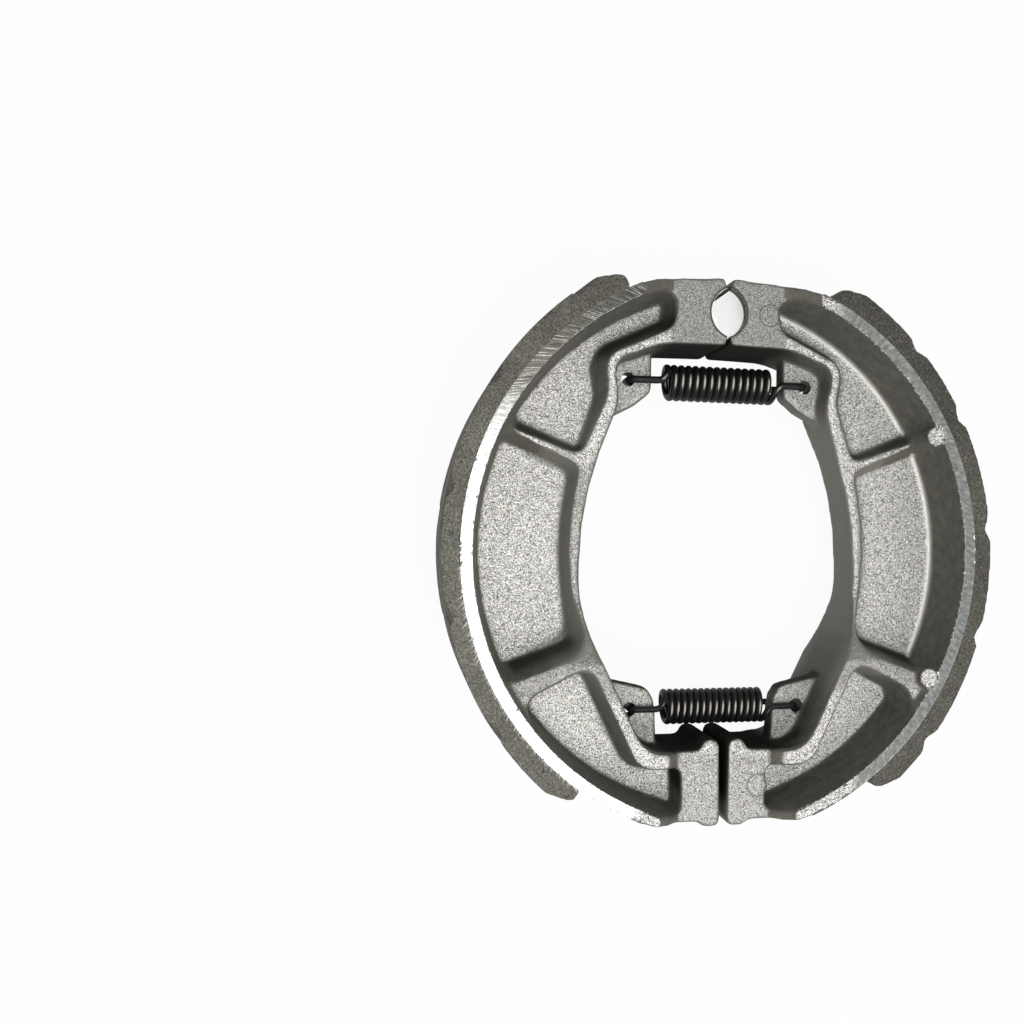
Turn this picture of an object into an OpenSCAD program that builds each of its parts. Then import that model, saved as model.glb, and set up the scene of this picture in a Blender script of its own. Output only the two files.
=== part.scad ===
// Pair of drum brake shoes, closed on each other as they lie on a bench.
// Two equal die castings face each other across the parting plane X = 0.
// The anchor pin end is at +Y, the cam end at -Y, and Z is the drum's axis.
// The right shoe is drawn as it stands, and the left one is the same shoe turned over about Y.

/* [Linings] */
// Radius of the rubbing face of the linings
lining_r = 65; // [63:0.5:68]
// Thickness of each bonded lining at its middle
lining_t = 3.65; // [3:0.05:4.5]
// Width of the shoes and linings along the drum's axis
shoe_w = 30; // [28:0.5:34]
// Distance of the linings' centre past the parting plane while the shoes are closed
arc_past = 6.5; // [5.5:0.1:7.5]
// Distance between the centres of lining and rim, which leaves a lining thicker at its ends
rim_offset = 2.2; // [0:0.1:3]
// Angle where a lining ends beside the anchor pin
lining_pin_end = 61.8; // [58:0.2:62]
// Angle where a lining ends beside the cam
lining_cam_end = -52; // [-56:0.5:-48]
// Thickness of the glue line under a lining
glue_t = 0.05; // [0.02:0.01:0.1]

/* [Lining grooves] */
// Depth of the slanting grooves
groove_d = 1.1; // [0.6:0.1:1.6]
// Width of a groove's foot along the arc
groove_foot_w = 0.7; // [0.4:0.1:1.5]
// Width of a groove's gentle side along the arc, towards the pin
groove_gentle_w = 2.6; // [1.5:0.1:3.5]
// Width of a groove's steep side along the arc, towards the cam
groove_steep_w = 1.4; // [0.5:0.1:2]
// Angle that a groove turns through from one edge to the other
groove_turn = 27; // [20:1:40]

/* [Casting] */
// Thickness of the rim where its edge is machined
rim_t = 2.4; // [2:0.1:3.5]
// Thickness of the web that joins rim and flange
web_t = 5; // [4:0.1:6]
// Height of the inner flange over its thin middle
flange_mid_h = 12; // [10:0.2:14]
// Height of the inner flange and the wide rib near the cam
flange_cam_h = 26; // [23:0.2:27]
// Thickness of the pin block and the cam block along the drum's axis
block_h = 21; // [18:0.2:22]
// Distance from the rubbing face's radius in to the shoes' ends
end_in = 7.8; // [7:0.1:9]
// Width that the rim wall gains down to the web on the marked face
marked_flare = 1.9; // [1.2:0.1:3]
// Width that the rim wall gains down to the web on the plain face
plain_flare = 1.3; // [0.6:0.1:3]
// Crest width of the thin rib
rib_w = 1.3; // [1:0.1:2.5]
// Foot width of the thin rib
rib_foot_w = 4.8; // [4:0.1:6]

/* [Anchor pin end] */
// Radius of the half bore that sits on the anchor pin
pin_r = 5.4; // [4.8:0.1:5.8]
// Distance from the rubbing face's radius in to the anchor pin's centre
pin_in = 15; // [14:0.1:16]
// Distance of the half bore's centre past the parting plane while the shoes are closed
pin_past = 1.6; // [1:0.1:2.2]
// Gap between an end face and the parting plane
face_gap = 0.3; // [0.2:0.05:0.5]

/* [Spring lugs] */
// Distance of the upper spring hole from the flange's upper corner, across the shoe
upper_hole_in = 4.1; // [3.4:0.1:4.9]
// Distance of the upper spring hole from the same corner, along the shoe
upper_hole_drop = 2.9; // [2.3:0.1:3.9]
// Distance of the lower spring hole from the flange's lower corner, across the shoe
lower_hole_out = 1.6; // [1:0.1:2.2]
// Distance of the lower spring hole from the same corner, along the shoe
lower_hole_rise = 7.6; // [7:0.1:8.3]
// Radius of the spring holes
hole_r = 1.5; // [1.3:0.05:1.7]

/* [Springs] */
// Outer diameter of the upper coil
upper_coil_d = 8; // [7.5:0.1:9]
// Wire diameter of the upper spring
upper_wire_d = 1.55; // [1.3:0.05:1.6]
// Outer diameter of the lower coil
lower_coil_d = 7.7; // [7:0.1:9]
// Wire diameter of the lower spring
lower_wire_d = 1.35; // [1.1:0.05:1.4]
// Length of the hook's tail under its lug
tail = 4.2; // [2:0.1:4.6]
// Clear space between two turns
turn_gap = 0.05; // [0.03:0.01:0.1]
// Least room between the end of a coil and its lug
coil_room = 1.5; // [1.2:0.1:3]
// Clear space between a hook and its lug
hook_gap = 0.3; // [0.2:0.05:0.5]

/* [Hidden] */
$fn = 96;
rim_past = arc_past - rim_offset;     // the rim's centre lies this far past the parting plane
rim_r = lining_r - lining_t - rim_offset;
edge_r = rim_r - rim_t;               // inside of the rim's machined edge
half_w = shoe_w / 2;
half_web = web_t / 2;
half_block = block_h / 2;
half_mid = flange_mid_h / 2;
half_cam = flange_cam_h / 2;
over = 2;                             // how far cutting bodies run past what they cut
corner_turn = 4.6;                    // angle from a pocket's corner to where it follows the rim
arc_step = 7;                         // degrees of turn for each facet of a rounded corner

// Places along the shoe, from the pin end to the cam end
end_y = lining_r - end_in;
pin_y = lining_r - pin_in;
block_foot_y = pin_y - 7;             // underside of the pin block
thin_top_y = 19;                      // where the flange reaches its middle height
thin_low_y = -9.5;                    // where the flange starts to rise again
wide_top_y = -23;                     // where it reaches the height of the wide rib
cam_top_y = 18.2 - end_y;             // top of the cam block

// Slopes between the blocks and the rim, across the shoe
pin_slope_x = [12, 19];
cam_slope_x = [9.6, 14.4];

// Places across the shoe where the pockets end against the blocks
upper_end_x = 12.9;
lower_end_x = 9.6;

// Thin rib between the upper and the middle pocket
rib_angle = 21.5;
rib_run = 16.4;                       // distance along it from its start to the rim
rib_slope = (rib_foot_w - rib_w) / 2 / (half_mid - half_web);

// Angles at the upper edge of the right lining where the grooves end
groove_at = [42, 26.4, 4.3, -16.4, -38.8, -60.5];

// Wall slopes of the pockets, as run for each unit of height
flange_slope = 0.33;
steep_slope = 0.1;
wide_slope = 0.27;
end_slope = 0.18;

// Plane geometry

function unit(v) = v / norm(v);
function cross2(a, b) = a.x * b.y - a.y * b.x;
function ring_point(r, a) = [r * cos(a) - rim_past, r * sin(a)];

// Corner of radius r that lies so far inside the rim's edge, at an angle round the rim's centre
function inboard(inset, a, r) = [each ring_point(edge_r - inset, a), r];

// Angle at which an arc of radius r about the rim's centre crosses a line along the shoe
function crosses(r, x) = acos((x + rim_past) / r);

function flat2(c) = [c.x, c.y];

// Points of a closed outline whose corners [x, y, radius] are rounded by true arcs
function rounded(c) = [
    for (i = [0 : len(c) - 1])
        let (
            p = flat2(c[i]),
            d1 = unit(p - flat2(c[(i + len(c) - 1) % len(c)])),
            d2 = unit(flat2(c[(i + 1) % len(c)]) - p),
            turn = atan2(cross2(d1, d2), d1 * d2),
            r = c[i].z,
            steps = r > 0 ? max(1, ceil(abs(turn) / arc_step)) : 0,
            start = p - d1 * r * tan(abs(turn) / 2),
            side = sign(turn)
        )
        for (k = [0 : steps])
            steps == 0 ? p : start + r * arc_move(d1, side, abs(turn) * k / steps)
];

// Travel along an arc of radius 1 that starts in direction d and bends to one side
function arc_move(d, side, a) = d * sin(a) + side * [-d.y, d.x] * (1 - cos(a));

// Corners moved outward, each wall by its own distance; wall i runs from corner i to the next
function grown(c, move) = [
    for (i = [0 : len(c) - 1])
        let (
            before = (i + len(c) - 1) % len(c),
            p = flat2(c[i]),
            d1 = unit(p - flat2(c[before])),
            d2 = unit(flat2(c[(i + 1) % len(c)]) - p),
            n1 = [d1.y, -d1.x],
            n2 = [d2.y, -d2.x],
            det = cross2(n1, n2),
            out = [move[before] * n2.y - move[i] * n1.y, n1.x * move[i] - n2.x * move[before]] / det,
            r = c[i].z == 0 ? 0 : max(0.2, c[i].z + sign(cross2(d1, d2)) * (move[before] + move[i]) / 2)
        )
        [p.x + out.x, p.y + out.y, r]
];

// Corners that follow the foot of the rim wall, of radius r, from angle a to angle b
function rim_side(r, a, b, r_start, r_end) = let (
        reach = r * tan(corner_turn),
        along = [-sin(a), cos(a)],
        back = [sin(b), -cos(b)],
        first = ring_point(r, a) - along * reach,
        apex = ring_point(r / cos((b - a) / 2), (a + b) / 2),
        last = ring_point(r, b) - back * reach
    ) [
        [first.x, first.y, r_start],
        [apex.x, apex.y, r],
        [last.x, last.y, r_end]
    ];

// Point at the foot of the rib, s along it, on the side of the pin (1) or of the cam (-1)
function rib_foot(s, side) =
    ring_point(edge_r - 18.8, 28.3)
    + s * [cos(rib_angle), sin(rib_angle)]
    + side * rib_foot_w / 2 * [-sin(rib_angle), cos(rib_angle)];

// Angle at which one side of the rib meets the rim
function rib_meets(side) = let (p = rib_foot(rib_run, side)) atan2(p.y, p.x + rim_past);

// Solid between two outlines with equally many points, at heights z1 and z2
module loft(low, high, z1, z2) {
    n = len(low);
    points = concat([for (p = low) [p.x, p.y, z1]], [for (p = high) [p.x, p.y, z2]]);
    walls = [
        for (i = [0 : n - 1])
            let (j = (i + 1) % n)
            each [[i, n + i, n + j], [i, n + j, j]]
    ];
    polyhedron(points, concat([[for (i = [0 : n - 1]) i]], [[for (i = [n - 1 : -1 : 0]) n + i]], walls));
}

// Pocket sunk from both faces down to the web, between two angles of the rim.
// The rim gives its outer walls, with corners of radius ends, and the corners and slopes
// that are listed give its inner walls.
module pocket(span, ends, corners, slopes) {
    depth = half_w - half_web + 0.5;
    for (face = [[marked_flare, 0], [plain_flare, 1]]) {
        rim_slope = face[0] / (half_w - half_web);
        foot = concat(rim_side(edge_r - face[0], span[0], span[1], ends[0], ends[1]), corners);
        mouth = grown(foot, concat([rim_slope, rim_slope], slopes) * depth);
        mirror([0, 0, face[1]])
            loft(rounded(foot), rounded(mouth), half_web, half_web + depth);
    }
}

module upper_pocket() {
    pocket(
        [rib_meets(1) + corner_turn, crosses(edge_r, upper_end_x) - corner_turn], [1.6, 1],
        [
            [upper_end_x, pin_y - 1.3, 1.2], inboard(4, 51.4, 6.2), inboard(12, 45.6, 5),
            [each rib_foot(2.6, 1), 0.8]
        ],
        [end_slope, flange_slope, flange_slope, flange_slope, rib_slope]
    );
}

module middle_pocket() {
    pocket(
        [-20.9, rib_meets(-1) - corner_turn], [1.2, 1.2],
        [[each rib_foot(1.6, -1), 1.2], inboard(18, 3.7, 60), inboard(16.4, -27.5, 3.5)],
        [rib_slope, flange_slope, flange_slope, wide_slope]
    );
}

module lower_pocket() {
    pocket(
        [corner_turn - crosses(edge_r, lower_end_x), -38.7], [0.8, 3],
        [inboard(15.1, -36.4, 2), [19.2, cam_top_y - 6.6, 6], [lower_end_x, cam_top_y - 6.6, 0.8]],
        [steep_slope, steep_slope, steep_slope, 0.02]
    );
}

// Plan of the casting, clockwise from the foot of the pin end face
flange_top = inboard(8.7, 54.1, 3.4);
flange_low = [17, cam_top_y - 2.3, 6];
inner_edge = [
    [13.5, block_foot_y - 0.4, 14],
    flange_top,
    inboard(16.1, 48.8, 7),
    inboard(21.2, 14.7, 70),
    inboard(19.5, -22.6, 35),
    flange_low
];
cam_head = [
    [5.2, cam_top_y - 2.2, 1],
    [4.2, cam_top_y, 1.3],
    [0.9, cam_top_y, 1.7],
    [0.5, -end_y, 1.7],
    [4.2, -end_y, 1.4],
    [5.6, 1.2 - end_y, 1]
];
// outside of the rim where it runs out past the lining
rim_tail = [
    [13.8, 1.2 - end_y, 7],
    [lining_r, 13.3 - end_y, 0]
];
pin_head = [
    [lining_r, end_y - 10.8, 0],
    [12.2, end_y - 0.8, 4],
    [face_gap + 0.5, end_y, 0.6],
    [face_gap, pin_y + 5, 0]
];
plan = concat([[face_gap, block_foot_y, 0.5]], inner_edge, cam_head, rim_tail, pin_head);

// Height of the casting along the shoe, without its rim
module level_profile() {
    half = [
        [lining_r, half_block],
        [block_foot_y, half_block],
        [thin_top_y, half_mid - 0.3],
        [thin_low_y, half_mid],
        [wide_top_y, half_cam],
        [-lining_r, half_cam]
    ];
    far = [for (i = [len(half) - 1 : -1 : 0]) [half[i].x, -half[i].y]];
    rotate([90, 0, 90])
        linear_extrude(lining_r)
            polygon(concat(half, far));
}

// Wedges that slope down from the rim to the blocks at both ends and on both faces
module end_wedges() {
    reach = 40;
    for (e = [[pin_slope_x, end_y + over], [cam_slope_x, reach - end_y - over]], side = [0, 1])
        mirror([0, 0, side])
            translate([0, e[1], 0])
                rotate([90, 0, 0])
                    linear_extrude(reach)
                        polygon([
                            [-over, half_block], [e[0][0], half_block], [e[0][1], half_w],
                            [e[0][1], half_w + over], [-over, half_w + over]
                        ]);
}

// Curved rim under the lining, with the gusset that the ribs climb
module rim() {
    gusset_r = edge_r - 4.7;
    gusset_z = half_mid - 0.5;
    translate([-rim_past, 0, 0])
        rotate_extrude($fn = 180)
            polygon([
                [rim_r, -half_w], [rim_r, half_w], [edge_r, half_w],
                [gusset_r, gusset_z], [gusset_r, -gusset_z], [edge_r, -half_w]
            ]);
}

// Whole casting before the pockets are sunk
module casting_form() {
    difference() {
        intersection() {
            linear_extrude(shoe_w, center = true)
                polygon(rounded(plan));
            union() {
                rim();
                intersection() {
                    level_profile();
                    translate([-rim_past, 0, 0])
                        cylinder(h = shoe_w, r = rim_r - rim_t / 2, center = true, $fn = 180);
                }
            }
        }
        end_wedges();
    }
}

upper_hole = flat2(flange_top) - [upper_hole_in, upper_hole_drop];
lower_hole = flat2(flange_low) + [lower_hole_out, lower_hole_rise];
upper_reach = 5.2;                    // from the upper hole to the edge of its lug
lower_reach = 5.5;                    // the same at the lower hole

// Web inside the flange, which carries the spring holes, laid out from each hole
module lugs() {
    upper = [
        [-upper_reach, 7.4, 0], [-upper_reach, -2.4, 2.5], [-1.5, -5.5, 3],
        [3.6, -8.2, 0], [6.2, -6, 0], [5.7, 4, 0], [0.2, 7.4, 0]
    ];
    lower = [
        [-lower_reach - 0.7, -9.3, 0], [1.4, -9.3, 0], [8.4, 6.7, 0],
        [4.2, 6.2, 0], [-4, 4.3, 2.2], [-lower_reach, 1.5, 2]
    ];
    for (lug = [[upper_hole, upper], [lower_hole, lower]])
        translate([lug[0].x, lug[0].y, -half_web])
            linear_extrude(web_t)
                polygon(rounded(lug[1]));
}

// Round marks that the ejector pins leave on one face
module ejector_marks() {
    rim_mark_r = 2.1;
    face_mark_r = 2.3;
    mark_t = 0.15;
    for (p = [inboard(1.1, 26.7, 0), inboard(1.4, -28.8, 0)])
        translate([p.x, p.y, 0])
            cylinder(h = half_w - 0.1, r = rim_mark_r, $fn = 32);
    for (p = [[9, pin_y - 0.2], [7.4, cam_top_y - 10]])
        translate([p.x, p.y, half_block - 1])
            cylinder(h = 1 + mark_t, r = face_mark_r, $fn = 40);
}

// One casting, drawn in the place of the right shoe
module casting() {
    difference() {
        union() {
            difference() {
                casting_form();
                upper_pocket();
                middle_pocket();
                lower_pocket();
            }
            lugs();
            ejector_marks();
        }
        translate([-pin_past, pin_y, 0])
            cylinder(h = shoe_w + over, r = pin_r, center = true);
        for (p = [upper_hole, lower_hole])
            translate([p.x, p.y, 0])
                cylinder(h = shoe_w, r = hole_r, center = true, $fn = 40);
    }
}

// One slanting groove across the rubbing face, given the angle of its foot at the upper edge
module groove(edge_angle) {
    steps = 12;
    per_mm = 180 / PI / lining_r;
    top_scale = (groove_d + over) / groove_d;
    half_foot = groove_foot_w / 2;
    // section corners, as distance along the arc and radius
    section = [
        [-half_foot, lining_r - groove_d],
        [-half_foot - groove_steep_w * top_scale, lining_r + over],
        [half_foot + groove_gentle_w * top_scale, lining_r + over],
        [half_foot, lining_r - groove_d]
    ];
    points = [
        for (k = [0 : steps])
            let (z = (half_w + over) * (2 * k / steps - 1), a = edge_angle + groove_turn * (half_w - z) / shoe_w)
            for (c = section)
                [c.y * cos(a + c.x * per_mm), c.y * sin(a + c.x * per_mm), z]
    ];
    skin = [
        for (k = [0 : steps - 1], i = [0 : 3])
            let (j = (i + 1) % 4, p = 4 * k)
            each [[p + i, p + 4 + i, p + 4 + j], [p + i, p + 4 + j, p + j]]
    ];
    polyhedron(points, concat([[0, 1, 2, 3]], [[for (i = [3 : -1 : 0]) 4 * steps + i]], skin));
}

// One bonded lining, drawn in the place of the right one
module lining() {
    // Worn and ground end of a lining, as radius and distance from the end
    end_cut = [
        [lining_r - 2.4, 0], [lining_r - 1.4, 1.4], [lining_r + 0.1, 6.5],
        [lining_r + over, 6.5], [lining_r + over, -over], [lining_r - 2.4, -over]
    ];
    translate([-arc_past, 0, 0])
        difference() {
            rotate([0, 0, lining_cam_end])
                rotate_extrude(angle = lining_pin_end - lining_cam_end, $fn = 180)
                    translate([rim_r, -half_w])
                        square([lining_r - rim_r, shoe_w]);
            translate([rim_offset, 0, 0])
                cylinder(h = shoe_w + over, r = rim_r + glue_t, center = true, $fn = 180);
            for (a = groove_at)
                groove(a);
            for (e = [[lining_pin_end, 1], [lining_cam_end, 0]])
                rotate([0, 0, e[0]])
                    mirror([0, e[1], 0])
                        linear_extrude(shoe_w + over, center = true)
                            polygon(end_cut);
        }
}

// Extension spring along X, hooked into holes at plus and minus hole_x

// Centre line of the spring from the left hook to the right one, for lugs that reach in by
// reach from their holes; the coil has as many turns as the room between the lugs takes
function spring_line(coil_d, wire_d, hole_x, reach) = let (
        r = (coil_d - wire_d) / 2,
        pitch = wire_d + turn_gap,
        room = 2 * (hole_x - reach - coil_room),
        turns = floor((room - wire_d) / pitch + 0.5),
        start_x = -pitch * (turns - 0.5) / 2,
        run = 2.4,                       // room that an end turn takes to straighten
        per_turn = 12,
        end_steps = 7,
        leg_x = hole_x - hook_gap,
        arm_z = half_web + hook_gap + wire_d / 2,
        bend = 1.3,
        hook = [
            [leg_x - bend - tail, 0, -arm_z],
            [leg_x - bend, 0, -arm_z],
            [leg_x - bend * (1 - sin(45)), 0, -arm_z + bend * (1 - sin(45))],
            [leg_x, 0, -arm_z + bend],
            [leg_x, 0, arm_z - bend],
            [leg_x - bend * (1 - sin(45)), 0, arm_z - bend * (1 - sin(45))],
            [leg_x - bend, 0, arm_z]
        ],
        left_end = [
            for (k = [end_steps : -1 : 1])
                let (s = k / end_steps, a = 90 * pow(1 - s, 2), h = r + (arm_z - r) * s)
                [start_x - run * s * s, h * sin(a), h * cos(a)]
        ],
        coil_steps = round(per_turn * (turns - 0.5)),
        coil = [
            for (k = [0 : coil_steps])
                let (a = 90 + (turns - 0.5) * 360 * k / coil_steps)
                [start_x - 2 * start_x * k / coil_steps, r * sin(a), r * cos(a)]
        ],
        right_end = [
            for (k = [1 : end_steps])
                let (s = k / end_steps, a = -90 * pow(1 - s, 2), h = r + (arm_z - r) * s)
                [run * s * s - start_x, h * sin(a), h * cos(a)]
        ]
    ) concat(
        [for (p = hook) [-p.x, p.y, p.z]],
        left_end, coil, right_end,
        [for (k = [len(hook) - 1 : -1 : 0]) hook[k]]
    );

// Round wire swept along a line of points, with rings that never twist
module wire(line, d) {
    sides = 8;
    n = len(line);
    ahead = [for (i = [0 : n - 1]) unit(line[min(i + 1, n - 1)] - line[max(i - 1, 0)])];
    across = [
        for (i = 0, v = unit(cross(ahead[0], [0, 1, 0]));
             i < n;
             v = unit(v - ahead[min(i + 1, n - 1)] * (v * ahead[min(i + 1, n - 1)])), i = i + 1)
            v
    ];
    points = [
        for (i = [0 : n - 1], k = [0 : sides - 1])
            let (up = cross(ahead[i], across[i]), a = 360 * k / sides)
            line[i] + d / 2 * (across[i] * cos(a) + up * sin(a))
    ];
    skin = [
        for (i = [0 : n - 2], k = [0 : sides - 1])
            let (j = (k + 1) % sides, p = sides * i)
            each [[p + k, p + sides + j, p + sides + k], [p + k, p + j, p + sides + j]]
    ];
    first = [for (k = [sides - 1 : -1 : 0]) k];
    last = [for (k = [0 : sides - 1]) sides * (n - 1) + k];
    polyhedron(points, concat([first], [last], skin));
}

// The pair lies on the edges of its rims, with the middle plane at half their width

module right_place() {
    translate([0, 0, half_w])
        children();
}

module left_place() {
    right_place()
        rotate([0, 180, 0])
            children();
}

module left_shoe() {
    color("silver")
        left_place()
            casting();
}

module right_shoe() {
    color("lightgray")
        right_place()
            casting();
}

module left_lining() {
    color("#5c584f")
        left_place()
            lining();
}

module right_lining() {
    color("#66625a")
        right_place()
            lining();
}

module upper_spring() {
    color("#1e1e1e")
        translate([0, upper_hole.y, half_w])
            wire(spring_line(upper_coil_d, upper_wire_d, upper_hole.x, upper_reach), upper_wire_d);
}

module lower_spring() {
    color("#262626")
        translate([0, lower_hole.y, half_w])
            wire(spring_line(lower_coil_d, lower_wire_d, lower_hole.x, lower_reach), lower_wire_d);
}

left_shoe();
right_shoe();
left_lining();
right_lining();
upper_spring();
lower_spring();
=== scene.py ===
import math

import bpy
import numpy as np
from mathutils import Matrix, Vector


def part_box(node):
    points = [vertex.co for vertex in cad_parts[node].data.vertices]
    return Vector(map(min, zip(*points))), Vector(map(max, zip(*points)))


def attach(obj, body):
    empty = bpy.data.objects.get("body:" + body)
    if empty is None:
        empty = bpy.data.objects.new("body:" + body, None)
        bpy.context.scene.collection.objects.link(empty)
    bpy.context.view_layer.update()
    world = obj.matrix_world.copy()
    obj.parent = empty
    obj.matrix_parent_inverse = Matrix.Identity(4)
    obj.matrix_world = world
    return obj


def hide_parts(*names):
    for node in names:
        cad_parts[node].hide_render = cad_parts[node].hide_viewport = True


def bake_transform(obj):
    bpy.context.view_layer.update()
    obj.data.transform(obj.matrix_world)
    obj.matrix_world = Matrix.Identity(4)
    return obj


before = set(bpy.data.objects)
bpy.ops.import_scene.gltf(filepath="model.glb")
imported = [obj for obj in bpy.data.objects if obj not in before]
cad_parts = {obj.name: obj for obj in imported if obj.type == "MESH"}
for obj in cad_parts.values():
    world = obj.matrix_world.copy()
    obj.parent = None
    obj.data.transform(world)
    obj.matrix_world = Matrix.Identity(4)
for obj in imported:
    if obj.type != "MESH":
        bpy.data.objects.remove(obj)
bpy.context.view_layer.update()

# Camera. It hangs over the left shoe and looks down and to the right, so that the outer side
# of the left lining and the inner sides of the right shoe show. The pair lies right of the
# middle of the picture, which the lens shift gives.
MM = 0.001
PICTURE = 1024
FOCAL = 1129.8           # focal length in pixels of the picture
CENTRE_X = 682           # pixel column that the lens looks straight at
SENSOR = 36              # width of the picture in the lens
LENS_PLACE = (-66.7, 3.4, 251.9)
LENS_TURNS = (1.15, -14.136, 1.033)    # about X, Y and Z, in degrees
NEAREST = 10             # the lens sees nothing nearer than this

eye = bpy.data.cameras.new("eye")
eye.sensor_width = SENSOR
eye.lens = FOCAL / PICTURE * SENSOR
eye.shift_x = (PICTURE / 2 - CENTRE_X) / PICTURE
eye.clip_start = NEAREST * MM
camera = bpy.data.objects.new("camera", eye)
camera.location = Vector(LENS_PLACE) * MM
camera.rotation_mode = "ZYX"
camera.rotation_euler = [math.radians(a) for a in LENS_TURNS]
bpy.context.scene.collection.objects.link(camera)
bpy.context.scene.camera = camera
bpy.context.scene.view_settings.view_transform = "Standard"


# Bench and light. The pair lies on a white sheet under one soft panel, which the machined
# rim edge of the left shoe mirrors into the lens and that of the right shoe doesn't.
SHEET_SIZE = 6           # in metres, so that its ends stay out of sight
SHEET_WHITE = (0.8, 0.8, 0.8)
SHEET_GLOW = 0.95        # share of the sheet's whiteness that no shadow dims
AMBIENT = 0.34           # light that comes from all round
LAMPS = {                # place, width and height in metres, and power in watts
    "panel": ((0.016, -0.17, 0.62), (0.17, 0.56), 2.6),
    "fill": ((-0.7, -0.1, 0.6), (0.5, 0.5), 0.7),
    "low_fill": ((0.2, -0.25, 0.26), (0.15, 0.15), 0.13),
}


class Value:
    """A socket in a material, on which plain arithmetic adds Math nodes."""

    def __init__(self, finish, socket):
        self.finish = finish
        self.socket = socket

    def calc(self, operation, *others):
        return self.finish.math(operation, self, *others)

    def __add__(self, other):
        return self.calc("ADD", other)

    def __sub__(self, other):
        return self.calc("SUBTRACT", other)

    def __rsub__(self, other):
        return self.finish.math("SUBTRACT", other, self)

    def __mul__(self, other):
        return self.calc("MULTIPLY", other)

    def __pow__(self, other):
        return self.calc("POWER", other)

    def __abs__(self):
        return self.calc("ABSOLUTE")

    __radd__ = __add__
    __rmul__ = __mul__

    def above(self, level, soft):
        """0 under the level and 1 over it, with a soft edge."""
        return self.finish.node(
            "ShaderNodeMapRange",
            {"interpolation_type": "SMOOTHSTEP"},
            {"Value": self, "From Min": level - soft, "From Max": level + soft},
        )

    def below(self, level, soft):
        return 1 - self.above(level, soft)

    def tint(self, stops):
        """Colour by the value, from stops of a place and a red, green and blue."""
        return self.finish.node("ShaderNodeValToRGB", {"stops": stops}, {0: self})


class Finish:
    """A material or a world: node() adds any node and hands back one of its outputs."""

    def __init__(self, holder):
        self.holder = holder
        holder.use_nodes = True
        self.tree = holder.node_tree
        self.tree.nodes.clear()

    def node(self, kind, settings=None, inputs=None, out=0):
        made = self.tree.nodes.new(kind)
        for key, value in (settings or {}).items():
            if key == "stops":
                ramp = made.color_ramp.elements
                while len(ramp) < len(value):
                    ramp.new(0.5)
                for stop, (place, colour) in zip(ramp, value):
                    stop.position = place
                    stop.color = (*colour, 1)
            else:
                setattr(made, key, value)
        for key, value in (inputs or {}).items():
            if isinstance(value, Value):
                self.tree.links.new(value.socket, made.inputs[key])
            elif isinstance(value, tuple) and made.inputs[key].type == "RGBA":
                made.inputs[key].default_value = (*value, 1)
            else:
                made.inputs[key].default_value = value
        return Value(self, made.outputs[out]) if len(made.outputs) else None

    def math(self, operation, *values):
        return self.node("ShaderNodeMath", {"operation": operation}, dict(enumerate(values)))

    def blend(self, factor, first, second):
        """Colour between first, at factor 0, and second, at factor 1."""
        return self.node("ShaderNodeMix", {"data_type": "RGBA"}, {0: factor, 6: first, 7: second}, out=2)

    def parts(self, vector):
        """The three numbers of a vector."""
        return [self.node("ShaderNodeSeparateXYZ", inputs={0: vector}, out=k) for k in range(3)]

    def spot(self, x, y, z):
        return self.node("ShaderNodeCombineXYZ", inputs={0: x, 1: y, 2: z})

    def stored(self, name, out="Fac"):
        """A number or place stored on the piece's points."""
        return self.node("ShaderNodeAttribute", {"attribute_name": name}, out=out)

    def noise(self, where, scale, detail=2.0, rough=0.5):
        sockets = {"Vector": where, "Scale": scale, "Detail": detail, "Roughness": rough}
        return self.node("ShaderNodeTexNoise", inputs=sockets)

    def grains(self, where, scale):
        """A number for each grain, the same all over the grain."""
        colour = self.node("ShaderNodeTexVoronoi", inputs={"Vector": where, "Scale": scale}, out="Color")
        return self.node("ShaderNodeSeparateColor", inputs={0: colour})

    def relief(self, height, depth, strength):
        """Bump of a depth in millimetres."""
        sockets = {"Strength": strength, "Distance": depth * MM, "Height": height}
        return self.node("ShaderNodeBump", inputs=sockets)

    def surface(self, over=None, **inputs):
        """The finish itself; over is a share and a shader that lies over it."""
        sockets = {name.replace("_", " "): value for name, value in inputs.items()}
        shader = self.node("ShaderNodeBsdfPrincipled", inputs=sockets)
        if over:
            shader = self.node("ShaderNodeMixShader", inputs={0: over[0], 1: shader, 2: over[1]})
        self.node("ShaderNodeOutputMaterial", inputs={"Surface": shader})
        return self.holder

    def seen_rays(self):
        """1 for rays from the lens and for those mirrored or let through, else 0."""
        kinds = ("Camera", "Glossy", "Transmission")
        rays = [self.node("ShaderNodeLightPath", out=f"Is {kind} Ray") for kind in kinds]
        return rays[0].calc("MAXIMUM", rays[1]).calc("MAXIMUM", rays[2])


sheet = Finish(bpy.data.materials.new("white_sheet"))
paper = sheet.node("ShaderNodeBsdfDiffuse", inputs={"Color": SHEET_WHITE})
glow = sheet.node("ShaderNodeEmission", inputs={"Color": (1, 1, 1), "Strength": 1.0})
shown = sheet.node("ShaderNodeMixShader", inputs={0: sheet.seen_rays() * SHEET_GLOW, 1: paper, 2: glow})
sheet.node("ShaderNodeOutputMaterial", inputs={"Surface": shown})

bpy.ops.mesh.primitive_plane_add(size=SHEET_SIZE)
bench = bpy.context.object
bench.name = "bench"
bench.data.materials.append(sheet.holder)

world = bpy.data.worlds.new("studio")
bpy.context.scene.world = world
air = Finish(world)
strength = air.seen_rays() * (1 - AMBIENT) + AMBIENT
sky = air.node("ShaderNodeBackground", inputs={"Color": (1, 1, 1), "Strength": strength})
air.node("ShaderNodeOutputWorld", inputs={"Surface": sky})

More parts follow.
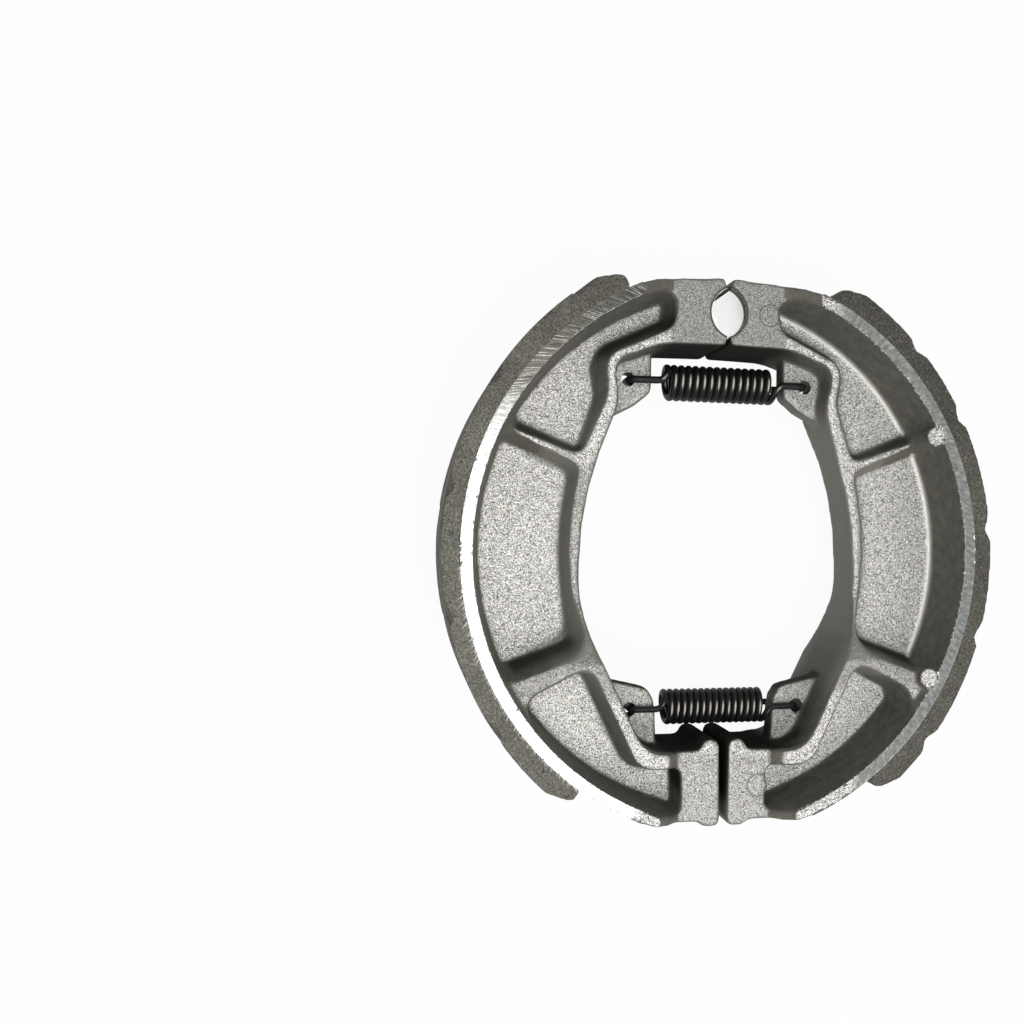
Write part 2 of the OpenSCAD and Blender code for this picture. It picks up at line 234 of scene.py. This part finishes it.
for name, (place, size, power) in LAMPS.items():
    light = bpy.data.lights.new(name, "AREA")
    light.shape = "RECTANGLE"
    light.size, light.size_y = size
    light.energy = power
    lamp = bpy.data.objects.new(name, light)
    lamp.location = place
    lamp.rotation_euler = (-Vector(place)).to_track_quat("-Z", "Y").to_euler()
    bpy.context.scene.collection.objects.link(lamp)


# Castings. Each shoe is one aluminium die casting, blasted so that its faces are sandy and
# bright. Its steep walls are painted dark, as painted shade. Only the edge of the rim, the rim's
# outside and the half bore on the pin are machined. The two castings are equal, one lying face up, one
# face down.
HALF_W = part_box("right_shoe")[1].z / MM / 2    # half the width of the shoe
HALF_BLOCK = 10.5        # half thickness of the pin and cam blocks
HALF_WEB = 2.5           # half thickness of the web and lugs
RIM_CENTRE = (-4.3, 0)   # it lies past the parting plane
RIM_R = 59.15            # outside of the rim
RIM_T = 2.4              # width of its machined edge
EDGE_R = RIM_R - RIM_T
PIN_FULL = 19.5          # the rim has its full height from here outwards at the pin's end
CAM_FULL = 18            # the same at the cam's end
PIN_WEDGE = (12, 19)     # from where to where across the shoe the rim's end slopes, at the pin
CAM_WEDGE = (9.6, 14.4)  # the same at the cam
PIN = (-1.6, 50)         # axis of the anchor pin, in the shoe's own plane
PIN_R = 5.4              # radius of the half bore on it
HOLES = {"upper": (19.8, 36.0), "lower": (18.6, -33.7)}    # for the springs' hooks
HOLE_R = 1.5
LUG_R = 7.3              # the faces of the lugs lie within this radius round their holes
RIM_MARKS = ((45.4, 25.0), (44.2, -26.7))    # ejector marks on the rim's edge
RIM_MARK_R = 2.1
MARK_DROP = 0.1          # these marks lie this far under the edge
BLOCK_MARKS = ((9, 49.8), (7.4, -49))        # ejector marks on the blocks
BLOCK_MARK_R = 2.3
FOOT = 2.5               # the round foot of the rim's wall lies this far inside its edge
SKIN_VOXEL = 0.5         # size of the skin's faces
SKIN_PASSES = 6          # smoothing passes, which round the casting's edges and corners
# the spread of a wall's nearness sets where painted shade lies on the floor at its foot
FOOT_PASSES = 32         # passes that spread the nearness of a wall over the floor at its foot
EDGE_CATCH = 0.12        # what lies this near to the level of the rim's edge is cut with it
CREASE = 50              # the skin bends sharply from this angle on, in degrees

SAND_GRAINS = 8.5        # grains of the blasted skin to a millimetre
SAND_DUST = 15.0         # the same of the finer grains between them
SAND = (                 # the blasted skin, from its dark grains to its bright ones
    (0.0, (0.07, 0.067, 0.058)),
    (0.3, (0.22, 0.215, 0.196)),
    (0.5, (0.355, 0.347, 0.32)),
    (0.72, (0.51, 0.5, 0.467)),
    (1.0, (0.9, 0.89, 0.85)),
)
# painted shade on the blocks' faces and the lugs
SHADED_SAND = (0.13, 0.127, 0.115)
RIB_SAND = (0.12, 0.117, 0.104)
# colour of the steep walls, painted dark as painted shade
SHADED_WALL = ((0.1, (0.05, 0.048, 0.039)), (0.5, (0.115, 0.11, 0.092)), (0.9, (0.23, 0.22, 0.19)))
# painted light: colour of the walls round the hub space, lighter than the other walls
LIT_HUB_WALL = (0.25, 0.242, 0.212)
# painted shade on the floor at the foot of the flange's wall
FOOT_SHADE = (0.04, 0.038, 0.032)
# near black of the painted shade on walls that face the pin's end and beside the blocks
SHADE_BLACK = (0.035, 0.036, 0.033)
# painted highlight along the round foot of the rim's wall
FOOT_HIGHLIGHT = (0.85, 0.84, 0.79)
# painted glints along the top corner of the rim's edge
GLINT = (0.95, 0.95, 0.93)
FINE_CUTS = ((0.3, (0.13, 0.138, 0.13)), (0.5, (0.235, 0.246, 0.234)), (0.68, (0.4, 0.412, 0.393)))
# coarse cut marks in dark colours, partly painted shade where the lamp's reflection leaves the edge
SHADED_COARSE_CUTS = ((0.36, (0.045, 0.044, 0.038)), (0.54, (0.1, 0.098, 0.086)), (0.66, (0.3, 0.295, 0.27)))
REAMED = (0.95, 0.95, 0.94)
# painted shade in a dark line round the bore's lip
LIP_SHADE = (0.03, 0.03, 0.027)
MARK_RING = (0.06, 0.058, 0.05)


def remeshed(node, voxel):
    """A copy of a solid's mesh, with even small faces all over."""
    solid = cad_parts[node]
    piece = bpy.data.objects.new(node + "_skin", solid.data.copy())
    bpy.context.scene.collection.objects.link(piece)
    grid = piece.modifiers.new("grid", "REMESH")
    grid.mode = "VOXEL"
    grid.voxel_size = voxel * MM
    seen = bpy.context.evaluated_depsgraph_get()
    piece.data = bpy.data.meshes.new_from_object(piece.evaluated_get(seen))
    piece.modifiers.clear()
    piece.data.materials.clear()
    return piece


def read(items, field, width, kind=float):
    flat = np.empty(len(items) * width, dtype=kind)
    items.foreach_get(field, flat)
    return flat.reshape(-1, width)


def own_places(points, turned):
    """Points in the shoe's own millimetres, in which the left shoe lies turned as the right one."""
    middle = (0, 0, HALF_W)
    return (points / MM - middle) * ((-1, 1, -1) if turned else (1, 1, 1))


def set_places(mesh, own, turned):
    """Puts points in the shoe's own millimetres back in their places on the piece."""
    points = (own * ((-1, 1, -1) if turned else (1, 1, 1)) + (0, 0, HALF_W)) * MM
    mesh.vertices.foreach_set("co", points.ravel())
    mesh.update()


def relaxed(points, edges, freedom):
    """Places or numbers of the points, drawn towards those of their neighbours."""
    ends = np.concatenate([edges[:, 0], edges[:, 1]])
    others = np.concatenate([edges[:, 1], edges[:, 0]])
    count = np.bincount(ends, minlength=len(points))[:, None]
    total = np.stack([np.bincount(ends, column, len(points)) for column in points[others].T], axis=1)
    return points + (total / count - points) * freedom


def store(mesh, name, values):
    """Numbers or places kept on the points, for the finish to read."""
    values = np.asarray(values, dtype=np.float32)
    kind, field = ("FLOAT", "value") if values.ndim == 1 else ("FLOAT_VECTOR", "vector")
    mesh.attributes.new(name, kind, "POINT").data.foreach_set(field, values.ravel())


def machined_places(own):
    """Round edges and walls that are cut true: the points on each, its axis, radius and level."""
    level = np.abs(own[:, 2])
    reach = 0.7 * SKIN_VOXEL
    places = []

    def ring(axis, radius, height, side, upright):
        off = np.abs(np.hypot(own[:, 0] - axis[0], own[:, 1] - axis[1]) - radius)
        near = (off < reach) & side
        corner = near & (np.abs(level - height) < reach)
        if upright:
            wall = near & (off < 0.4 * reach) & (level < height) & ~corner
            places.append((wall, axis, radius, None))
        places.append((corner, axis, radius, height))

    both_faces = level > 0
    marked_face = own[:, 2] > 0
    full = own[:, 0] > np.where(own[:, 1] > 0, PIN_FULL, CAM_FULL)
    marked = np.zeros(len(own), dtype=bool)
    for x, y in RIM_MARKS:
        marked |= (np.hypot(own[:, 0] - x, own[:, 1] - y) < RIM_MARK_R + reach) & marked_face
        ring((x, y), RIM_MARK_R, HALF_W - MARK_DROP, marked_face, False)
    ring(RIM_CENTRE, EDGE_R, HALF_W, full & ~marked, False)
    ring(RIM_CENTRE, RIM_R, HALF_W, full, True)
    ring(PIN, PIN_R, HALF_BLOCK, both_faces, True)
    for hole in HOLES.values():
        ring(hole, HOLE_R, HALF_WEB, both_faces, True)
    places.append(((level > HALF_W - EDGE_CATCH) & ~marked, RIM_CENTRE, None, HALF_W))
    return places


def trued(own, places):
    """The points, with those on machined places brought to their radius and level."""
    for chosen, axis, radius, height in places:
        if radius:
            arm = own[chosen, :2] - axis
            own[chosen, :2] = axis + arm * (radius / np.linalg.norm(arm, axis=1))[:, None]
        if height:
            own[chosen, 2] = np.sign(own[chosen, 2]) * height
    return own


def cast_skin(node, body, turned, metal):
    """Skin of one casting, round at its cast edges and true where it is machined."""
    piece = remeshed(node, SKIN_VOXEL)
    mesh = piece.data
    own = own_places(read(mesh.vertices, "co", 3), turned)
    edges = read(mesh.edges, "vertices", 2, np.int32)
    places = machined_places(own)
    for _ in range(SKIN_PASSES):
        own = trued(relaxed(own, edges, 0.5), places)
    set_places(mesh, own, turned)
    store(mesh, "own", own)
    facing = read(mesh.vertex_normals, "vector", 3, np.float32)
    steep = 1 - np.abs(facing[:, 2:])
    store(mesh, "steep", steep[:, 0])
    # steepness spread over the floor at the walls' feet, for the painted shade there
    for _ in range(FOOT_PASSES):
        steep = relaxed(steep, edges, 0.5)
    store(mesh, "near_wall", steep[:, 0])
    store(mesh, "north", facing[:, 1])
    mesh.shade_smooth()
    mesh.set_sharp_from_angle(angle=math.radians(CREASE))
    mesh.materials.append(metal)
    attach(piece, body)
    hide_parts(node)


class CastFinish(Finish):
    """The castings' finish, which goes by the place on the shoe, in its own millimetres."""

    def __init__(self):
        super().__init__(bpy.data.materials.new("cast_aluminium"))
        self.own = self.stored("own", "Vector")
        self.x, self.y, self.z = self.parts(self.own)
        self.level = abs(self.z)
        self.angle = self.y.calc("ARCTAN2", self.x - RIM_CENTRE[0])
        self.radius = self.from_axis(RIM_CENTRE)
        self.slope = self.stored("steep")
        self.grain = self.grains(self.own, SAND_GRAINS)
        self.dust = self.noise(self.own, SAND_DUST, 0.0)
        self.soft = self.noise(self.own, 0.5, 3.0)

    def from_axis(self, axis):
        return ((self.x - axis[0]) ** 2 + (self.y - axis[1]) ** 2) ** 0.5


def sandy_skin(f):
    """Blasted faces. The low pockets' floors get painted light, the blocks and lugs get painted shade,
    and the broad rib is darker than the pockets.
    """
    # painted light: the floors of the low pockets are lighter
    lit_low_floor = f.y.below(-28, 5) * f.level.below(HALF_WEB + 1, 0.3) * f.radius.above(44, 1)
    grain_and_light = (f.grain - 0.5) * 3.3 + (f.dust - 0.5) * 3.3 + (f.soft - 0.5) * 0.15 + lit_low_floor * 0.2 + 0.5
    sand = grain_and_light.tint(SAND)
    # painted shade: the blocks' faces, more at the pin's end, and the lugs are darker
    shaded_ends = f.y.above(42, 1.5) * 0.6 + f.y.below(-42, 1.5) * 0.35
    shaded_ends = shaded_ends * f.level.above(HALF_BLOCK - 0.6, 0.2) * f.x.below(12.5, 0.5)
    for hole in HOLES.values():
        shaded_ends = f.from_axis(hole).below(LUG_R, 0.3) * f.level.below(HALF_WEB + 0.4, 0.1) * 0.3 + shaded_ends
    sand = f.blend(shaded_ends, sand, SHADED_SAND)
    broad_rib = f.y.below(-15, 3) * f.y.above(-30, 2)
    broad_rib = broad_rib * f.level.above(HALF_WEB + 2, 1) * f.z.below(HALF_W - 1, 0.5)
    return f.blend(broad_rib * 0.5, sand, RIB_SAND)


def shaded_wall_colour(f):
    """Colour of the steep walls, painted dark as painted shade; those round the hub space get painted
    light and are the brightest.
    """
    shaded_wall = ((f.dust - 0.5) * 0.9 + (f.grain - 0.5) * 0.35 + (f.soft - 0.5) * 0.5 + 0.5).tint(SHADED_WALL)
    # painted light: the walls round the hub space are painted lighter
    lit_hub_side = f.radius.below(47, 1.5) * abs(f.y).below(29, 5)
    return f.blend(lit_hub_side * 0.65, shaded_wall, LIT_HUB_WALL)


def wall_shade_share(f):
    """Share of painted shade: 1 on steep walls and on the wedges that slope down from the rim's ends to
    the blocks.
    """
    wedge = 0
    for (start, end), side in ((PIN_WEDGE, f.y), (CAM_WEDGE, f.y * -1)):
        across = f.x.above(start, 0.3) * f.x.below(end, 0.3)
        wedge = across * side.above(45, 1) * f.radius.above(EDGE_R - 0.7, 0.4) + wedge
    return f.slope.above(0.14, 0.13).calc("MAXIMUM", wedge * f.level.above(HALF_BLOCK, 0.3))


def broad_foot_shade(f):
    """Share of painted shade: 1 where the flange's wall runs out over the floor of the plain face's
    middle pocket.
    """
    painted_foot = f.stored("near_wall").above(0.14, 0.09) * f.radius.below(50.5, 1.5)
    painted_foot = painted_foot * f.level.below(HALF_WEB + 3, 1) * f.z.below(0, 1)
    return painted_foot * abs(f.y).below(20, 4) * f.slope.below(0.5, 0.3)


def black_shade_share(f):
    """Share of painted shade, near black, on walls that face the pin's end and on those beside the
    blocks.
    """
    away = f.stored("north").above(0.45, 0.3) * f.radius.below(54, 0.7) * f.level.below(9, 3.5)
    beside = abs(f.y).above(36, 3) * f.x.below(16, 5) * f.level.below(HALF_BLOCK + 1, 1)
    beside = beside * f.radius.below(52, 2)
    out_of_bore = f.from_axis(PIN).above(PIN_R + 0.4, 0.1)
    return (away * 0.85).calc("MAXIMUM", beside) * f.slope.above(0.4, 0.3) * out_of_bore


def painted_highlights(f, skin):
    """The skin with a painted highlight along the round foot of the rim's wall and painted glints in
    spots along its top.
    """
    painted_foot = abs(f.radius - (EDGE_R - FOOT)).below(0.35, 0.45) * f.level.below(HALF_WEB + 1.2, 0.3)
    painted_foot = painted_foot * f.z.above(0, 1) * f.y.above(-28, 4) * (f.dust * 0.5 + 0.45)
    skin = f.blend(painted_foot, skin, FOOT_HIGHLIGHT)
    # painted glints in spots along the top corner of the rim's edge
    top = abs(f.radius - EDGE_R).below(0.14, 0.06) * f.level.above(HALF_W - 0.4, 0.2)
    return f.blend(top * f.noise(f.own, 2.2).above(0.6, 0.02), skin, GLINT)


def milled_edge(f):
    """The rim's edge, milled across: 1 on it, the height of its cuts, and its colour."""
    wander = f.noise(f.own, 0.35) * 0.3
    cuts = f.noise(f.spot(f.angle * 75.0 + f.radius * 0.35, f.radius * 0.5, 0.0), 1.0, 4.0, 0.8)
    from_middle = abs(f.angle - math.radians(2)) + wander * 0.4 - f.z.below(0, 1) * math.radians(8)
    ragged = f.radius + (cuts - 0.5) * 0.5
    milled = f.level.above(HALF_W - 0.05, 0.03) * ragged.above(EDGE_R + 0.05, 0.08)
    milled = milled * from_middle.below(math.radians(63), 0.03)
    marks = f.noise(f.spot(f.angle * 130.0 + f.radius * 2.0, f.radius * 0.12, 0.0), 1.4, 2.0, 0.6)
    # coarse cut marks on the own -z face's edge past 32 degrees towards the pin, painted darker as
    # painted shade where the lamp's reflection stops
    shaded_coarse_end = (f.angle + wander * 0.3).above(math.radians(32), 0.12) * f.z.below(0, 1)
    return milled, cuts, f.blend(shaded_coarse_end, cuts.tint(FINE_CUTS), marks.tint(SHADED_COARSE_CUTS))


def ejector_rings(f):
    """1 on the rings that the ejector pins left."""
    rings = 0
    for marks, r, height in ((RIM_MARKS, RIM_MARK_R, HALF_W), (BLOCK_MARKS, BLOCK_MARK_R, HALF_BLOCK)):
        for mark in marks:
            line = abs(f.from_axis(mark) - r).below(0.14, 0.1)
            rings = line * abs(f.z - height).below(0.3, 0.1) + rings
    return rings


def casting_finish():
    f = CastFinish()
    # the skin: blasted sand, with painted shade on the walls, the wedges and the floor at the flange's
    # foot
    painted_foot = broad_foot_shade(f)
    steep = wall_shade_share(f).calc("MAXIMUM", painted_foot)
    skin = f.blend(steep, sandy_skin(f), f.blend(painted_foot * 0.55, shaded_wall_colour(f), FOOT_SHADE))
    milled, cuts, edge = milled_edge(f)
    colour = f.blend(milled, painted_highlights(f, skin), edge)
    # the half bore is reamed bright, with painted shade as a dark line round its lip
    from_pin = f.from_axis(PIN)
    reamed = from_pin.below(PIN_R + 0.12, 0.05) * f.z.below(HALF_BLOCK - 2.2, 0.25)
    colour = f.blend(reamed, colour, REAMED)
    lip_shade = from_pin.above(PIN_R + 0.05, 0.05) * from_pin.below(PIN_R + 0.45, 0.15)
    colour = f.blend(lip_shade * 0.9, colour, LIP_SHADE)
    rings = ejector_rings(f)
    colour = f.blend(rings * 0.6, colour, MARK_RING)

    machined = milled.calc("MAXIMUM", reamed)
    sandy = (f.grain * 0.5 + f.dust * 0.7) * (1 - machined) * (1 - steep * 0.6)
    # painted shade: a near-black diffuse laid over those walls
    shade_black = f.node("ShaderNodeBsdfDiffuse", inputs={"Color": SHADE_BLACK})
    return f.surface(
        (black_shade_share(f), shade_black),
        Base_Color=colour,
        Metallic=(1 - steep) * (1 - machined) * 0.58 + machined * 0.95,
        Roughness=steep * 0.1 + 0.5 - milled * 0.28 - reamed * 0.36,
        Specular_IOR_Level=0.25,
        Normal=f.relief(sandy + cuts * milled * 0.7 - rings * 0.5, 0.1, 0.5),
    )


cast_metal = casting_finish()
cast_skin("left_shoe", "left", True, cast_metal)
cast_skin("right_shoe", "right", False, cast_metal)


# Linings. Each is a moulded strip of friction material, glued to the rim and ground to the
# drum's bore, so its outside has fine streaks round the arc, pits and light flecks of filler.
ARC_PAST = 6.5           # the lining's centre lies this far past the parting plane
LINING_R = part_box("right_lining")[1].x / MM + ARC_PAST    # outside of the lining
LINING_VOXEL = 0.4       # size of the skin's faces
LINING_PASSES = 2        # smoothing passes
GLUE = 0.02              # thickness of the glue between rim and lining

FRICTION = (             # the lining, from its dark spots to its light ones
    (0.05, (0.018, 0.0168, 0.013)),
    (0.35, (0.072, 0.068, 0.053)),
    (0.6, (0.145, 0.138, 0.11)),
    (0.95, (0.33, 0.315, 0.26)),
)
FLECK = (0.34, 0.33, 0.29)
PIT = (0.014, 0.0135, 0.012)
BURR = (0.75, 0.74, 0.71)


def lining_skin(node, body, turned, material):
    """Skin of one lining, true on its flat sides and where it is glued."""
    piece = remeshed(node, LINING_VOXEL)
    mesh = piece.data
    own = own_places(read(mesh.vertices, "co", 3), turned)
    edges = read(mesh.edges, "vertices", 2, np.int32)
    off_rim = np.abs(np.hypot(own[:, 0] - RIM_CENTRE[0], own[:, 1]) - RIM_R)
    glued = off_rim < 0.5 * LINING_VOXEL
    flat = np.abs(own[:, 2]) > HALF_W - 0.5 * LINING_VOXEL
    places = [(glued, RIM_CENTRE, RIM_R + GLUE, None), (flat, RIM_CENTRE, None, HALF_W)]
    for _ in range(LINING_PASSES):
        own = trued(relaxed(own, edges, 0.5), places)
    set_places(mesh, own, turned)
    store(mesh, "own", own)
    store(mesh, "flat_side", np.abs(read(mesh.vertex_normals, "vector", 3, np.float32)[:, 2]))
    mesh.shade_smooth()
    mesh.materials.append(material)
    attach(piece, body)
    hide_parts(node)


def lining_finish():
    f = Finish(bpy.data.materials.new("friction_material"))
    own = f.stored("own", "Vector")
    x, y, z = f.parts(own)
    angle = y.calc("ARCTAN2", x + ARC_PAST)
    radius = ((x + ARC_PAST) ** 2 + y ** 2) ** 0.5
    side = f.stored("flat_side").above(0.6, 0.2)

    streak = f.noise(f.spot(angle * LINING_R * 0.25, z, radius), 2.4, 3.0, 0.65)
    mottle = f.noise(own, 2.4, 4.0, 0.65)
    specks = f.grains(own, 5.0)
    cloud = f.noise(own, 0.12)
    tone = (streak - 0.5) * (1 - side * 0.6) * 1.1 + (mottle - 0.5) * 0.75
    tone = tone + (specks - 0.5) * 0.5 + (cloud - 0.5) * 0.4 + 0.5
    # painted shade: the flat side on the own +z face is darker all over, and both flat sides darken
    # towards the pin's end
    side_shade = (z.above(0, 1) * 0.2 + y.above(28, 14) * 0.12) * side
    base = (tone - (1 - side) * 0.14 - side_shade).tint(FRICTION)

    moved = f.spot(y, z, x)
    fleck = f.noise(moved, 1.5).above(0.7, 0.03)
    pit = f.noise(moved, 0.9, 3.0, 0.7).above(0.67, 0.03)
    colour = f.blend(fleck * 0.5, base, FLECK)
    colour = f.blend(pit * 0.75, colour, PIT)
    # bright burr that the milling cutter dragged from the rim over one face
    from_rim = ((x - RIM_CENTRE[0]) ** 2 + y ** 2) ** 0.5 - RIM_R
    strands = f.noise(f.spot(angle * 110.0 + radius * 1.5, radius * 0.15, 0.0), 1.3, 2.0, 0.6)
    burr = (strands * 5 - 2.4 - from_rim).above(0, 0.2) * side * z.below(0, 1) * y.below(-2, 8)
    colour = f.blend(burr * 0.8, colour, BURR)
    return f.surface(
        Base_Color=colour,
        Roughness=(1 - side) * 0.25 + 0.5,
        Specular_IOR_Level=0.35,
        Normal=f.relief(mottle * 0.5 + streak * 0.4 + specks * 0.25 - pit, 0.15, 0.7),
    )


friction = lining_finish()
lining_skin("left_lining", "left", True, friction)
lining_skin("right_lining", "right", False, friction)


# Return springs. Each is close-wound from hard black wire, and its end turns straighten into
# hooks, which run over the lugs, down through their holes and back under them.
SPRINGS = {              # coil, wire, reach of the lug past its hole, and shift of the coil to the right
    "upper": (8.0, 1.55, 5.2, 0.7),
    "lower": (7.7, 1.35, 5.5, 0.25),
}
TURN_GAP = 0.05          # clear space between two turns
HOOK_GAP = 0.3           # clear space between a hook and its lug
COIL_ROOM = 1.5          # least room between the end of a coil and its lug
RUN = 2.4                # room that an end turn takes to straighten
BEND = 1.3               # radius of a hook's corners
TAIL = 4.2               # length of a hook under its lug
WIRE_SIDES = 14          # flat sides that make up the round wire
TURN_STEPS = 28          # steps of the wire's line in a turn
END_STEPS = 16           # the same in an end turn's last quarter
BEND_STEPS = 6           # the same in a hook's corner
TAIL_STEPS = 8           # the same in a hook's tail

BLACK = ((0.3, (0.006, 0.0068, 0.0064)), (0.62, (0.012, 0.0125, 0.012)), (0.85, (0.04, 0.038, 0.033)))
# colour of the painted highlight on top of each coil turn
TOP_HIGHLIGHT = (0.7, 0.65, 0.54)


def hook(leg, arm):
    """Right hook from the end of its tail, under the lug, to where it runs in over the lug."""
    corner = [math.radians(90 * k / BEND_STEPS) for k in range(BEND_STEPS + 1)]
    path = [(leg - BEND - TAIL * (1 - k / TAIL_STEPS), 0, -arm) for k in range(TAIL_STEPS)]
    path += [(leg - BEND * (1 - math.sin(a)), 0, -arm + BEND * (1 - math.cos(a))) for a in corner]
    path += [(leg - BEND * (1 - math.cos(a)), 0, arm - BEND * (1 - math.sin(a))) for a in corner]
    return np.array(path)


def end_turn(start, r, arm):
    """Last quarter turn, which rises from the coil to the level of the hook."""
    path = []
    for k in range(1, END_STEPS + 1):
        s = k / END_STEPS
        a = math.radians(90 * (1 - s) ** 2)
        h = r + (arm - r) * s
        path.append((start + RUN * s * s, -h * math.sin(a), h * math.cos(a)))
    return np.array(path)


def evened(line, step):
    """The line with even short steps, its small kinks smoothed."""
    run = np.concatenate([[0], np.cumsum(np.linalg.norm(np.diff(line, axis=0), axis=1))])
    even = np.linspace(0, run[-1], round(run[-1] / step))
    line = np.stack([np.interp(even, run, line[:, k]) for k in range(3)], axis=1)
    for _ in range(2):
        line[1:-1] = (line[:-2] + 2 * line[1:-1] + line[2:]) / 4
    return line


def spring_line(coil, wire, hole_x, reach, shift):
    """Centre line from the left hook to the right one, with the turns that fit between the lugs."""
    r = (coil - wire) / 2
    pitch = wire + TURN_GAP
    room = 2 * (hole_x - reach - COIL_ROOM)
    turns = math.floor((room - wire) / pitch + 0.5) - 0.5
    end = pitch * turns / 2
    arm = HALF_WEB + HOOK_GAP + wire / 2
    right_hook = hook(hole_x - HOOK_GAP, arm)
    right_end = end_turn(end, r, arm)
    steps = round(turns * TURN_STEPS)
    t = np.arange(steps + 1) / steps
    a = np.radians(90 + 360 * turns * t)
    coil_line = np.stack([end * (2 * t - 1), r * np.sin(a), r * np.cos(a)], axis=1)
    left_end = right_end[::-1] * (-1, -1, 1)
    left_hook = right_hook * (-1, 1, 1)
    turned_part = np.concatenate([left_end, coil_line, right_end]) + (shift, 0, 0)
    return evened(np.concatenate([left_hook, turned_part, right_hook[::-1]]), wire / 3)


def wire_mesh(name, line, radius):
    """Round wire along a line in millimetres, with its cut ends closed."""
    ahead = np.gradient(line, axis=0)
    ahead /= np.linalg.norm(ahead, axis=1)[:, None]
    across = np.cross(ahead[0], (0, 1, 0))
    angles = np.arange(WIRE_SIDES) * 2 * math.pi / WIRE_SIDES
    rings = []
    for place, along in zip(line, ahead):
        across = across - along * across.dot(along)
        across /= np.linalg.norm(across)
        up = np.cross(along, across)
        rings.append(place + radius * (np.cos(angles)[:, None] * across + np.sin(angles)[:, None] * up))

    def face(i, k):
        here = i * WIRE_SIDES
        there = here + WIRE_SIDES
        after = (k + 1) % WIRE_SIDES
        return here + k, here + after, there + after, there + k

    faces = [face(i, k) for i in range(len(line) - 1) for k in range(WIRE_SIDES)]
    last = (len(line) - 1) * WIRE_SIDES
    faces.append(tuple(reversed(range(WIRE_SIDES))))
    faces.append(tuple(range(last, last + WIRE_SIDES)))
    mesh = bpy.data.meshes.new(name)
    mesh.from_pydata([tuple(p) for p in np.concatenate(rings) * MM], [], faces)
    mesh.shade_smooth()
    for cut in mesh.polygons[-2:]:
        cut.use_smooth = False
    return mesh


def return_spring(node, hole, coil, wire, reach, shift, finish):
    """One spring between the two lugs."""
    line = spring_line(coil, wire, hole[0], reach, shift) + (0, hole[1], HALF_W)
    piece = bpy.data.objects.new(node + "_wire", wire_mesh(node + "_wire", line, wire / 2))
    bpy.context.scene.collection.objects.link(piece)
    piece.data.materials.append(finish)
    half = (hole[0] - reach - COIL_ROOM) * MM
    store(piece.data, "coil", np.abs(read(piece.data.vertices, "co", 3)[:, 0] - shift * MM) < half)
    -half
    hole[1] * MM
    hole[1] * MM
    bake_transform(piece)
    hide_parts(node)


def wire_finish():
    f = Finish(bpy.data.materials.new("black_wire"))
    where = f.node("ShaderNodeTexCoord", out="Object")
    wear = f.noise(where, 0.7 / MM, 3.0, 0.6)
    # painted highlight: each coil turn is painted brighter on top, where it faces up
    along, across, _ = f.parts(f.node("ShaderNodeTexCoord", out="Normal"))
    top = abs(along * 3.0) ** 2 + abs(across * 2.2) ** 2
    top_highlight = top.below(0.55, 0.55) * f.stored("coil")
    return f.surface(
        Base_Color=f.blend(top_highlight * (wear * 0.6 + 0.5), wear.tint(BLACK), TOP_HIGHLIGHT),
        Roughness=wear * 0.2 + 0.35,
        Specular_IOR_Level=0.18,
        Normal=f.relief(wear, 0.05, 0.25),
    )


black_wire = wire_finish()
for place, (coil, wire, reach, shift) in SPRINGS.items():
    return_spring(place + "_spring", HOLES[place], coil, wire, reach, shift, black_wire)
